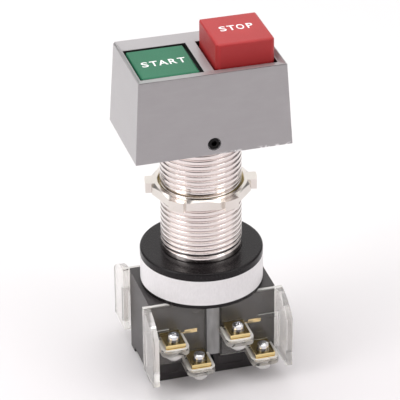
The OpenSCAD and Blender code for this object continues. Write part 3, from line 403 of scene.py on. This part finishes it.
FINISHES = {
    "paint": painted_casting(),
    "cast": plated_metal("dull_casting", (0.40, 0.40, 0.41), 0.5),
    "guide": moulded_plastic("black_guide", (0.018, 0.017, 0.017), 0.5),
    "black_oxide": plated_metal("black_oxide", (0.018, 0.018, 0.018), 0.3),
    "nickel": plated_metal(
        "bright_nickel", (0.85, 0.785, 0.76), 0.09, streak=(1, 1, 8), scale=260, stain=0.06),
    "nut": nut_metal(),
    "steel": plated_metal("zinc_steel", (0.74, 0.74, 0.76), 0.20),
    "washer": plated_metal("dull_washers", (0.22, 0.215, 0.22), 0.3),
    "wire": plated_metal("spring_wire", (0.62, 0.62, 0.64), 0.3),
    "nylon": moulded_plastic("natural_nylon", (0.72, 0.68, 0.60), 0.45),
    "rubber": moulded_plastic("black_rubber", (0.02, 0.02, 0.02), 0.75),
    "disc": moulded_plastic(
        "satin_black", (0.012, 0.010, 0.011), 0.24, grain=0.05, tone=0.15, gloss=0.2),
    "label": paper_label(),
    "green": moulded_plastic(
        "green_button", (0.013, 0.150, 0.074), 0.42, grain=0.12, tone=0.08, gloss=0.36),
    "red": moulded_plastic(
        "red_button", (0.42, 0.026, 0.028), 0.40, grain=0.12, tone=0.08, gloss=0.36),
    "case": moulded_plastic(
        "black_case", (0.036, 0.031, 0.032), 0.36, grain=0.25, tone=0.15, gloss=0.42),
    "clear": clear_plastic("clear_cover_plate", (0.99, 0.98, 0.965), 0.95, 0.04, ior=1.3),
    "wing": clear_plastic("clear_cover_wing", (1.0, 0.99, 0.98), 0.87, 0.01),
    # Painted highlight: the wing's own clear, letting less light through, so its narrow faces and
    # top show whiter.
    "wing_edge": clear_plastic("clear_cover_wing_edge", (1.0, 0.99, 0.98), 0.80, 0.01),
    # Frosting on the screw bosses, and painted highlight on the plate's rims and top edge, which
    # show whiter with this finish.
    "frosted": clear_plastic("frosted_rims_and_bosses", (0.99, 0.98, 0.97), 0.38, 0.06),
    "brass": plated_metal(
        "rolled_brass", (0.92, 0.73, 0.36), 0.1, streak=(6, 1, 1), scale=500, stain=0.15),
    "link": frosted_link(),
    "plunger": moulded_plastic("plunger_brown", (0.22, 0.05, 0.04), 0.45),
    "white_ink": moulded_plastic("white_ink", (0.88, 0.88, 0.88), 0.5, grain=0.05, tone=0.03),
    "floor": floor_paper_painted_shade(),
}

FINISH_OF = {
    "head_housing": "paint", "head_base": "cast", "button_guide": "guide",
    "set_screw": "black_oxide", "threaded_sleeve": "nickel", "retaining_ring": "wire",
    "rod_guide": "nylon", "rod_seals": "rubber", "spring_washers": "steel",
    "base_disc": "disc", "label_band": "label", "lock_nut": "nut",
    "start_button": "green", "stop_button": "red",
    "start_push_rod": "steel", "stop_push_rod": "steel",
    "start_rod_clip": "wire", "stop_rod_clip": "wire",
    "start_spring": "wire", "stop_spring": "wire",
    "upper_case": "case", "lower_case": "case", "front_cover": "clear", "back_cover": "clear",
    "terminals": "brass", "terminal_screws": "steel", "washers": "washer",
    "block_screws": "steel", "block_links": "link", "plunger": "plunger",
    "bridges": "brass", "contact_springs": "wire", "plunger_spring": "wire",
}

# Finishes of the pieces whose faces differ, in the order of their material slots
# The head's guide slot holds the black painted on its window walls as shade.
HEAD_FINISHES = ("paint", "guide")
COVER_FINISHES = ("clear", "wing", "frosted", "wing_edge")

# Rounding of the edges that show, in millimetres; the other pieces' edges stay as they are
EDGE_ROUND = {
    "head_housing": 0.45, "button_guide": 0.3, "set_screw": 0.2, "lock_nut": 0.3,
    "upper_case": 0.4, "lower_case": 0.3, "front_cover": 0.25, "back_cover": 0.25,
    "terminals": 0.2, "terminal_screws": 0.2, "washers": 0.1, "block_links": 0.2,
    "block_screws": 0.2,
}


# Pieces from the CAD nodes

def kind_of(node):
    """The node's name without its side."""
    return node.replace("left_", "").replace("right_", "")


def add_object(name, data):
    """A new object in the scene."""
    new = bpy.data.objects.new(name, data)
    bpy.context.scene.collection.objects.link(new)
    return new


def object_from(name, bm, finishes, body, smooth_angle=35):
    """A finished piece in the shared frame, from a bmesh in metres, which it uses up."""
    for edge in bm.edges:
        angle = edge.calc_face_angle(0)
        edge.smooth = len(edge.link_faces) == 2 and angle < math.radians(smooth_angle)
    for face in bm.faces:
        face.smooth = True
    mesh = bpy.data.meshes.new(name)
    bm.to_mesh(mesh)
    bm.free()
    for finish in finishes:
        mesh.materials.append(FINISHES[finish])
    piece = add_object(name, mesh)
    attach(piece, body)
    return piece


def round_edges(piece, width):
    """Rounds the sharp edges, if there is a width, and keeps the flats flat."""
    if width:
        bevel = piece.modifiers.new("edges", "BEVEL")
        bevel.width = width
        bevel.segments = EDGE_SEGMENTS
        bevel.limit_method = "ANGLE"
        bevel.angle_limit = SHARP_ANGLE
        bevel.use_clamp_overlap = True
        bevel.harden_normals = True
    flats = piece.modifiers.new("flats", "WEIGHTED_NORMAL")
    flats.keep_sharp = True
    flats.weight = FLATS_WEIGHT


def welded_copy(node):
    """The CAD node's mesh with its triangles joined at their corners."""
    bm = bmesh.new()
    bm.from_mesh(NODES[node].data)
    bmesh.ops.remove_doubles(bm, verts=bm.verts, dist=CAD_WELD)
    return bm


def merged_copy(node):
    """The CAD node's mesh with its triangles joined into whole flat faces, or only in pairs on
    the head and where a whole face would have a hole."""
    bm = welded_copy(node)
    whole = bm.copy()
    bmesh.ops.dissolve_limit(
        whole, angle_limit=FLAT_ANGLE, verts=whole.verts, edges=whole.edges,
        use_dissolve_boundaries=False, delimit=set())
    if node != "head_housing" and fills_its_outlines(whole):
        bm.free()
        return whole
    whole.free()
    bmesh.ops.join_triangles(
        bm, faces=bm.faces, angle_face_threshold=FLAT_ANGLE,
        angle_shape_threshold=PAIR_SHAPE_ANGLE)
    return bm


def fills_its_outlines(bm):
    """Whether all faces, cut into triangles again, keep their area: a face with a hole may not."""
    before = sum(face.calc_area() for face in bm.faces)
    test = bm.copy()
    bmesh.ops.triangulate(test, faces=test.faces)
    after = sum(face.calc_area() for face in test.faces)
    test.free()
    return abs(after - before) < AREA_TOLERANCE * before


def mark_cover(bm):
    """Picks the finish of each face of a cover: its wing, its plate and the screw bosses with their
    frosting, and a painted highlight on the wing's narrow faces and top, and on the plate's rims
    and top edge."""
    top = max(vert.co.z for vert in bm.verts)
    for face in bm.faces:
        center = face.calc_center_median()
        width = face.calc_area() / max(edge.calc_length() for edge in face.edges)
        on_top = center.z > top - COVER_TOP_BAND
        on_rim = face.normal.z > LOOKS_UP and width < RIM_WIDTH
        on_boss = min((center.xy - place).length for place in SCREW_PLACES) < BOSS_RADIUS
        if abs(center.x) > WING_X:
            # Painted highlight on the narrow faces and top of the wing
            finish = "wing_edge" if width < WING_EDGE_WIDTH or on_top else "wing"
        else:
            # Painted highlight on the rims and top edge; real frosting on the bosses
            finish = "frosted" if on_rim or on_top or on_boss else "clear"
        face.material_index = COVER_FINISHES.index(finish)


def paint_head_window_shade(bm):
    """Painted shade: the upright walls of the head's windows get the black guide finish, so the
    gaps beside the buttons look dark.
    """
    start_low, start_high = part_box("start_button")
    stop_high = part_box("stop_button")[1]
    low_x, high_x = start_low.x - WINDOW_GAP_X, stop_high.x + WINDOW_GAP_X
    low_y, high_y = start_low.y - WINDOW_GAP_Y, start_high.y + WINDOW_GAP_Y
    for face in bm.faces:
        inside = all(low_x < vert.co.x < high_x and low_y < vert.co.y < high_y
                     for vert in face.verts)
        if inside and abs(face.normal.z) < STANDS_UPRIGHT:
            # Painted shade: these walls are given the guide's black.
            face.material_index = HEAD_FINISHES.index("guide")


def dress(node):
    """Puts a rounded, finished copy in the place of a CAD node that shows."""
    kind = kind_of(node)
    bm = merged_copy(node)
    finishes = (FINISH_OF[kind],)
    if kind.endswith("cover"):
        mark_cover(bm)
        finishes = COVER_FINISHES
    elif kind == "head_housing":
        paint_head_window_shade(bm)
        finishes = HEAD_FINISHES
    piece = object_from("shown_" + node, bm, finishes, BODY_OF[node])
    round_edges(piece, EDGE_ROUND.get(kind, 0) * MM)
    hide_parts(node)


def make_springs():
    """Copies of the springs that the record's joints shorten, shown in place of their CAD nodes."""
    for joint in frame["record"]["behaviour"]["joints"]:
        for row in joint.get("deforming_nodes", []):
            node = row["node"]
            finishes = (FINISH_OF[kind_of(node)],)
            spring = object_from("shown_" + node, welded_copy(node), finishes, BODY_OF[node])
            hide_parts(node)
            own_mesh(spring)


def paint_nodes():
    """Each CAD node gets its finish, for those that show as they are."""
    for name, node in NODES.items():
        node.data.materials.clear()
        node.data.materials.append(FINISHES[FINISH_OF[kind_of(name)]])


# Sleeve

def spin(bm, points, **options):
    """Turns a closed outline of the XZ plane once about Z."""
    verts = [bm.verts.new((x, 0, z)) for x, z in points]
    edges = [bm.edges.new((a, b)) for a, b in zip(verts, verts[1:] + verts[:1])]
    bmesh.ops.spin(
        bm, geom=verts + edges, cent=(0, 0, 0), axis=(0, 0, 1), angle=2 * math.pi,
        steps=THREAD_STEPS, use_duplicate=False, **options)


def make_sleeve():
    """The nickel sleeve: a core with its neck, foot and flange, and the thread wound on it."""
    low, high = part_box("threaded_sleeve")
    disc_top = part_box("base_disc")[1].z
    flange_top = low.z + FLANGE_THICKNESS
    points = [
        (SLEEVE_BORE_RADIUS, low.z), (high.x, low.z), (high.x, flange_top),
        (NECK_RADIUS, flange_top), (NECK_RADIUS, disc_top + NECK_END),
        *((radius * MM, disc_top + height * MM) for radius, height in SLEEVE_FOOT),
        (THREAD_ROOT_RADIUS, disc_top + ROOT_START), (THREAD_ROOT_RADIUS, high.z),
        (SLEEVE_BORE_RADIUS, high.z),
    ]
    bm = bmesh.new()
    spin(bm, points, use_merge=True)
    bmesh.ops.remove_doubles(bm, verts=bm.verts, dist=WELD)
    bmesh.ops.recalc_face_normals(bm, faces=bm.faces)
    core = object_from("sleeve_core", bm, ("nickel",), BODY_OF["threaded_sleeve"])
    round_edges(core, SLEEVE_EDGE)
    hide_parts("threaded_sleeve")

    start = disc_top + THREAD_PITCH * THREAD_START
    turns = int((high.z - THREAD_PITCH * THREAD_END - start) / THREAD_PITCH)
    thread = object_from(
        "sleeve_thread", wind_thread(start, turns), ("nickel",), BODY_OF["threaded_sleeve"],
        smooth_angle=50)


def wind_thread(start, turns):
    """The thread's ridge as a helix of some turns, its first middle at a given height."""
    half = THREAD_PITCH / 2
    inside = THREAD_ROOT_RADIUS - RIDGE_SINK
    flank = [(THREAD_ROOT_RADIUS + depth * THREAD_DEPTH, share * half) for depth, share in FLANK]
    ridge = [(inside, -half)] + [(radius, -height) for radius, height in flank]
    ridge += flank[::-1] + [(inside, half)]
    bm = bmesh.new()
    spin(bm, [(x, z + start) for x, z in ridge], dvec=(0, 0, THREAD_PITCH / THREAD_STEPS))
    one_turn = bm.verts[:] + bm.edges[:] + bm.faces[:]
    for turn in range(1, turns):
        copy = bmesh.ops.duplicate(bm, geom=one_turn)["geom"]
        verts = [part for part in copy if isinstance(part, bmesh.types.BMVert)]
        bmesh.ops.translate(bm, verts=verts, vec=(0, 0, turn * THREAD_PITCH))
    bmesh.ops.remove_doubles(bm, verts=bm.verts, dist=WELD)
    bmesh.ops.holes_fill(bm, edges=[edge for edge in bm.edges if edge.is_boundary], sides=0)
    bmesh.ops.recalc_face_normals(bm, faces=bm.faces)
    return bm


# Lettering

def letter_mesh(letter):
    """One sans-serif capital as a flat solid, about one unit high."""
    curve = bpy.data.curves.new("letter_curve", "FONT")
    curve.body = letter
    curve.align_x = "CENTER"
    curve.resolution_u = LETTER_SEGMENTS
    curve.extrude = LETTER_THICKNESS
    curve.offset = LETTER_BOLDNESS
    holder = add_object("letter_holder", curve)
    bpy.context.view_layer.update()
    depsgraph = bpy.context.evaluated_depsgraph_get()
    mesh = bpy.data.meshes.new_from_object(holder.evaluated_get(depsgraph))
    bpy.data.objects.remove(holder)
    return mesh


def make_word(text):
    """A word printed on a button's top, a hair proud of it."""
    node, center_y, centers = WORDS[text]
    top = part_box(node)[1].z
    bm = bmesh.new()
    for letter, center_x in zip(text, centers):
        before = set(bm.verts)
        bm.from_mesh(letter_mesh(letter))
        verts = [vert for vert in bm.verts if vert not in before]
        low = Vector([min(vert.co[axis] for vert in verts) for axis in range(3)])
        high = Vector([max(vert.co[axis] for vert in verts) for axis in range(3)])
        scale = LETTER_HEIGHT / (high.y - low.y)
        relief = 2 * LETTER_RELIEF / (high.z - low.z)
        bmesh.ops.translate(bm, verts=verts, vec=-(low + high) / 2)
        bmesh.ops.scale(bm, verts=verts, vec=(scale * LETTER_STRETCH[letter], scale, relief))
        bmesh.ops.translate(bm, verts=verts, vec=(center_x * MM, center_y * MM, top))
    bmesh.ops.remove_doubles(bm, verts=bm.verts, dist=WELD)
    word = object_from("word_" + text.lower(), bm, ("white_ink",), BODY_OF[node])


# Camera, floor and light

def aim(thing, direction):
    """Turns a camera or lamp to look along a direction."""
    thing.rotation_mode = "QUATERNION"
    thing.rotation_quaternion = direction.to_track_quat("-Z", "Y")


def make_camera():
    """The camera in the photographer's place."""
    azimuth = math.radians(CAMERA_AZIMUTH)
    elevation = math.radians(CAMERA_ELEVATION)
    back = Vector((
        math.sin(azimuth) * math.cos(elevation),
        -math.cos(azimuth) * math.cos(elevation),
        math.sin(elevation),
    ))
    data = bpy.data.cameras.new("camera")
    data.lens = CAMERA_LENS
    data.sensor_width = CAMERA_SENSOR
    data.clip_start = CAMERA_NEAR
    data.clip_end = CAMERA_FAR
    camera = add_object("camera", data)
    camera.location = CAMERA_TARGET + back * CAMERA_DISTANCE
    aim(camera, -back)
    camera.rotation_quaternion @= Quaternion((0, 0, 1), math.radians(CAMERA_ROLL))
    bpy.context.scene.camera = camera


def make_floor():
    """The paper floor, which is part of the studio and not of the object."""
    bm = bmesh.new()
    bmesh.ops.create_grid(bm, x_segments=2, y_segments=2, size=FLOOR_SIZE)
    mesh = bpy.data.meshes.new("floor")
    bm.to_mesh(mesh)
    bm.free()
    mesh.materials.append(FINISHES["floor"])
    floor = add_object("floor", mesh)


def make_softbox(name, place, side, power):
    """A square lamp that looks at the object's middle."""
    data = bpy.data.lights.new(name, "AREA")
    data.shape = "SQUARE"
    data.size = side
    data.energy = power
    lamp = add_object(name, data)
    lamp.location = place
    aim(lamp, SOFTBOX_AIM - Vector(place))


def make_light():
    """The white walls with their gaps, and the softboxes."""
    world = bpy.data.worlds.new("studio")
    world.use_nodes = True
    tree = world.node_tree
    walls = tree.nodes["Background"]
    walls.inputs["Strength"].default_value = WALL_STRENGTH
    direction = tree.nodes.new("ShaderNodeTexCoord").outputs["Generated"]
    color = WALL_COLOR
    for gap, outer, inner in WALL_GAPS:
        toward = tree.nodes.new("ShaderNodeVectorMath")
        toward.operation = "DOT_PRODUCT"
        toward.inputs[1].default_value = gap
        tree.links.new(direction, toward.inputs[0])
        dark = spread(tree, toward.outputs["Value"], outer, inner)
        color = blend_colors(tree, dark, color, GAP_COLOR)
    tree.links.new(color, walls.inputs["Color"])
    bpy.context.scene.world = world
    for softbox in SOFTBOXES:
        make_softbox(*softbox)
    bpy.context.scene.view_settings.view_transform = "Standard"


SHOWN_ONCE = (
    "head_housing", "button_guide", "set_screw", "lock_nut", "base_disc", "label_band",
    "start_button", "stop_button", "block_links", "block_screws",
)
SHOWN_ON_EACH_BLOCK = (
    "upper_case", "lower_case", "front_cover", "back_cover", "terminals", "terminal_screws",
    "washers",
)

make_camera()
make_floor()
make_light()
paint_nodes()
for shown in SHOWN_ONCE:
    dress(shown)
for side in ("left_", "right_"):
    for shown in SHOWN_ON_EACH_BLOCK:
        dress(side + shown)
make_springs()
make_sleeve()
for text in WORDS:
    make_word(text)
